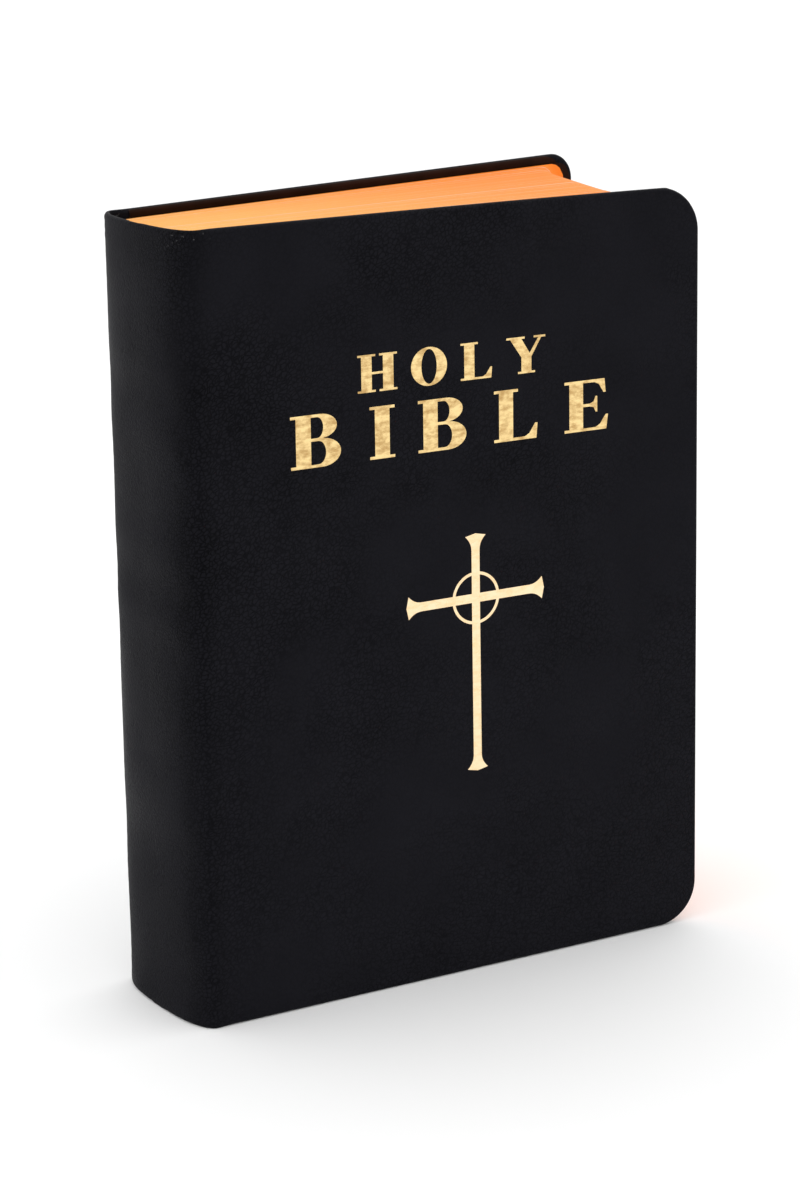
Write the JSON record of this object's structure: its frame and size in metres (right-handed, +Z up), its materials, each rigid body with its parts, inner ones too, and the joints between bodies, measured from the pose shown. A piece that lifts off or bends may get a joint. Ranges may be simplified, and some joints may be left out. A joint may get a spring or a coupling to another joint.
{
  "type": "bible",
  "caption": "Thick round-cornered bible in a limp black leatherette cover, gilded page edges and a gold foil title and cross, standing on its tail; covers, flyleaves and block open.",
  "frame": {"origin": "centre of the box at its base: under the middle of the standing book, on the plane its tail edges rest on", "axes": "+Z up along the book's height, -X towards the spine, +X towards the fore-edge, -Y out of the front cover and +Y out of the back cover"},
  "size_m": [0.1556, 0.0606, 0.21],
  "materials": {
    "black_leatherette": "semi-matt bonded leather with a fine pebbled grain",
    "gilded_pages": "thin bible paper with orange-gold stained edges",
    "dark_lining_paper": "glossy dark brown endpaper",
    "grey_card": "raw board",
    "spine_cloth": "open-weave cotton with glue",
    "linen_thread": "waxed thread",
    "gold_foil": "hot-stamped gold foil, slightly brushed"
  },
  "bodies": {
    "back_half": {"section_13": "gilded_pages", "section_14": "gilded_pages", "section_15": "gilded_pages", "section_16": "gilded_pages", "section_17": "gilded_pages", "section_18": "gilded_pages", "section_19": "gilded_pages", "section_20": "gilded_pages", "section_21": "gilded_pages", "section_22": "gilded_pages", "section_23": "gilded_pages", "section_24": "gilded_pages", "spine_leather_back_half": "black_leatherette", "spine_inlay_back_half": "grey_card", "spine_lining_back_half": "spine_cloth", "sewing_thread_back_1": "linen_thread", "sewing_thread_back_2": "linen_thread", "sewing_thread_back_3": "linen_thread", "sewing_thread_back_4": "linen_thread", "sewing_thread_back_5": "linen_thread"},
    "front_half": {"section_01": "gilded_pages", "section_02": "gilded_pages", "section_03": "gilded_pages", "section_04": "gilded_pages", "section_05": "gilded_pages", "section_06": "gilded_pages", "section_07": "gilded_pages", "section_08": "gilded_pages", "section_09": "gilded_pages", "section_10": "gilded_pages", "section_11": "gilded_pages", "section_12": "gilded_pages", "spine_leather_front_half": "black_leatherette", "spine_inlay_front_half": "grey_card", "spine_lining_front_half": "spine_cloth", "sewing_thread_front_1": "linen_thread", "sewing_thread_front_2": "linen_thread", "sewing_thread_front_3": "linen_thread", "sewing_thread_front_4": "linen_thread", "sewing_thread_front_5": "linen_thread"},
    "front_cover": {"front_cover_leather": "black_leatherette", "front_board": "grey_card", "front_pastedown": "dark_lining_paper"},
    "back_cover": {"back_cover_leather": "black_leatherette", "back_board": "grey_card", "back_pastedown": "dark_lining_paper"},
    "front_flyleaf": {"front_flyleaf": "dark_lining_paper"},
    "back_flyleaf": {"back_flyleaf": "dark_lining_paper"}
  },
  "joints": [
    {"name": "spine_opening", "type": "hinge", "parent": "back_half", "child": "front_half", "pos_m": [-0.07777, 0, 0], "axis": [0, 0, -1], "range_deg": [0, 180]},
    {"name": "front_cover_hinge", "type": "hinge", "parent": "front_half", "child": "front_cover", "pos_m": [-0.06937, -0.0226, 0], "axis": [0, 0, -1], "range_deg": [0, 120]},
    {"name": "back_cover_hinge", "type": "hinge", "parent": "back_half", "child": "back_cover", "pos_m": [-0.06937, 0.0226, 0], "axis": [0, 0, 1], "range_deg": [0, 55]},
    {"name": "front_flyleaf_turn", "type": "hinge", "parent": "front_half", "child": "front_flyleaf", "pos_m": [-0.06415, -0.01947, 0], "axis": [0, 0, -1], "range_deg": [0, 60]},
    {"name": "back_flyleaf_turn", "type": "hinge", "parent": "back_half", "child": "back_flyleaf", "pos_m": [-0.06415, 0.01947, 0], "axis": [0, 0, 1], "range_deg": [0, 27.5]}
  ],
  "couplings": [
    {"joint": "front_flyleaf_turn", "follows": "front_cover_hinge", "ratio": 0.5},
    {"joint": "back_flyleaf_turn", "follows": "back_cover_hinge", "ratio": 0.5}
  ]
}
